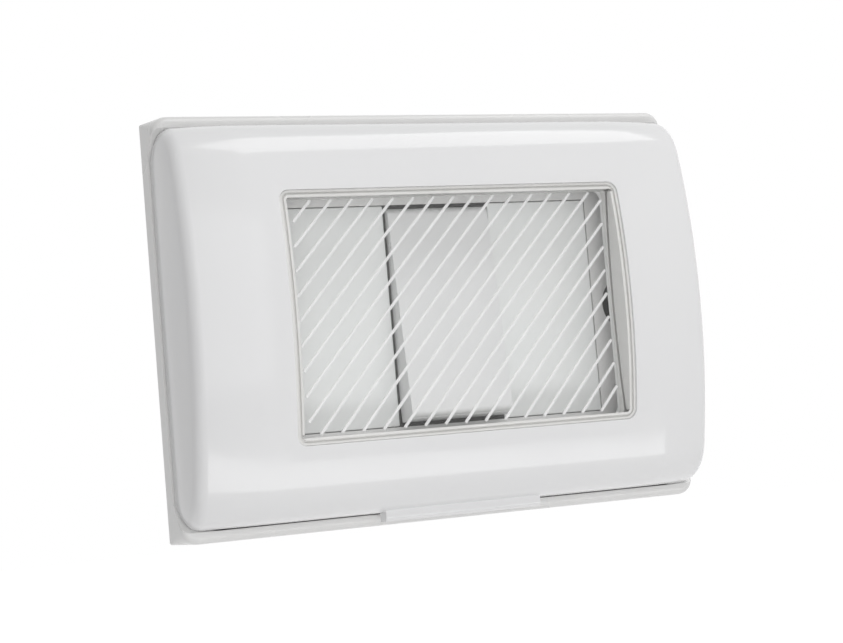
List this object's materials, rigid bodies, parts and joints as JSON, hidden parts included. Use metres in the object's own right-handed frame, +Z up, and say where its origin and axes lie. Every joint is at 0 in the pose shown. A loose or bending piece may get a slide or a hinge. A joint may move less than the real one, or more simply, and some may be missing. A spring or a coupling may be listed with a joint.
{
  "type": "weatherproof switch plate",
  "caption": "Splash-proof flush wall plate: a rocker switch between blank modules, under a hinged bulged lid with a clear ribbed push-through membrane.",
  "frame": {"origin": "centre of the wall face, midway between the two wall screws", "axes": "+X to the right across the plate, +Y into the wall, +Z up; the lid faces -Y"},
  "size_m": [0.112, 0.0386, 0.082],
  "materials": {
    "white_plastic": "glossy moulded white",
    "clear_membrane": "clear soft moulding with frosted ribs",
    "module_plastic": "satin off-white",
    "inner_plastic": "plain moulded dark grey",
    "seal_rubber": "matt black",
    "steel": "zinc-plated",
    "contact_silver": "silver alloy",
    "brass": "stamped brass"
  },
  "bodies": {
    "base": {"base_frame": "white_plastic", "wall_gasket": "seal_rubber", "screw_seals": "seal_rubber", "lid_seal": "seal_rubber", "hinge_pin_left": "steel", "hinge_pin_right": "steel", "blank_left": "module_plastic", "blank_right": "module_plastic", "switch_housing": "inner_plastic", "switch_rear_cover": "inner_plastic", "fixed_rivets": "contact_silver", "common_terminal": "brass", "upper_contact": "brass", "lower_contact": "brass", "terminal_screws": "steel"},
    "lid": {"lid_shell": "white_plastic", "membrane": "clear_membrane", "membrane_frame": "inner_plastic"},
    "rocker": {"rocker_button": "module_plastic", "rocker_carrier": "inner_plastic", "plunger": "inner_plastic", "plunger_spring": "steel"},
    "contact": {"moving_contact": "brass", "moving_rivets": "contact_silver"}
  },
  "joints": [
    {"name": "lid_hinge", "type": "hinge", "parent": "base", "child": "lid", "pos_m": [0, -0.0135, 0.0328], "axis": [-1, 0, 0], "range_deg": [0, 90]},
    {"name": "rocker_tilt", "type": "hinge", "parent": "base", "child": "rocker", "pos_m": [0, -0.0122, 0], "axis": [1, 0, 0], "range_deg": [0, 13]},
    {"name": "contact_tilt", "type": "hinge", "parent": "base", "child": "contact", "pos_m": [0, 0.0032, 0], "axis": [1, 0, 0], "range_deg": [-12, 0]}
  ],
  "couplings": [
    {"joint": "contact_tilt", "follows": "rocker_tilt", "ratio": -0.92308}
  ]
}
